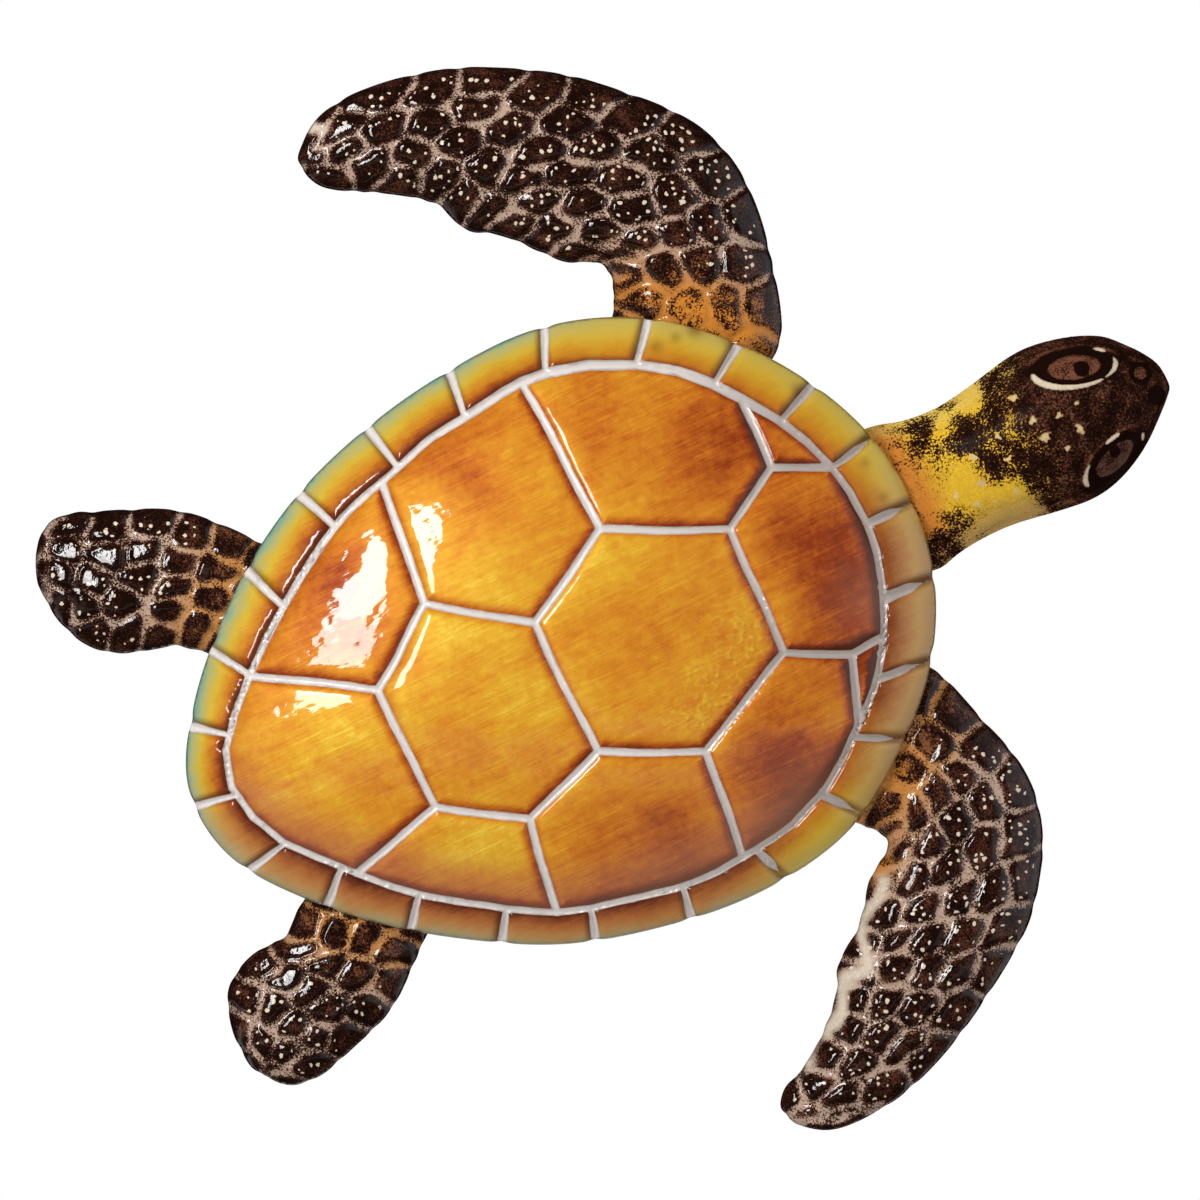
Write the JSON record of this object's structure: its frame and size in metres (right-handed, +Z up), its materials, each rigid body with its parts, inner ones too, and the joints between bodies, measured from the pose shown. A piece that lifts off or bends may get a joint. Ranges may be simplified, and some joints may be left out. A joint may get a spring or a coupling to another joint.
{
  "type": "metal turtle wall decoration",
  "caption": "Sea turtle wall ornament of pressed painted sheet metal: domed shell with scutes, head and scaled flippers welded under the rim, hung by a keyhole strip.",
  "frame": {"origin": "on the wall side of the hanger strip, just above its keyhole slot, in the plane of the wall", "axes": "+Y into the wall, so the front looks towards -Y; +X to the viewer's right, +Z up as it hangs"},
  "size_m": [0.3985, 0.0486, 0.3727],
  "materials": {
    "shell_lacquer": "glossy translucent amber lacquer over brushed metal, with pale painted seams",
    "head_paint": "glossy yellow and orange with dark brown sponged stipple",
    "flipper_paint": "glossy dark brown scales with cream stippled lines and dots",
    "hanger_steel": "bare mill finish",
    "weld_metal": "dull rippled weld metal"
  },
  "bodies": {
    "root": {"carapace": "shell_lacquer", "head": "head_paint", "front_left_flipper": "flipper_paint", "front_right_flipper": "flipper_paint", "rear_left_flipper": "flipper_paint", "rear_right_flipper": "flipper_paint", "hanger_bracket": "hanger_steel", "head_weld_1": "weld_metal", "head_weld_2": "weld_metal", "front_left_flipper_weld_1": "weld_metal", "front_left_flipper_weld_2": "weld_metal", "front_right_flipper_weld_1": "weld_metal", "front_right_flipper_weld_2": "weld_metal", "rear_left_flipper_weld_1": "weld_metal", "rear_left_flipper_weld_2": "weld_metal", "rear_right_flipper_weld_1": "weld_metal", "rear_right_flipper_weld_2": "weld_metal", "hanger_weld_1": "weld_metal", "hanger_weld_2": "weld_metal"}
  },
  "joints": []
}
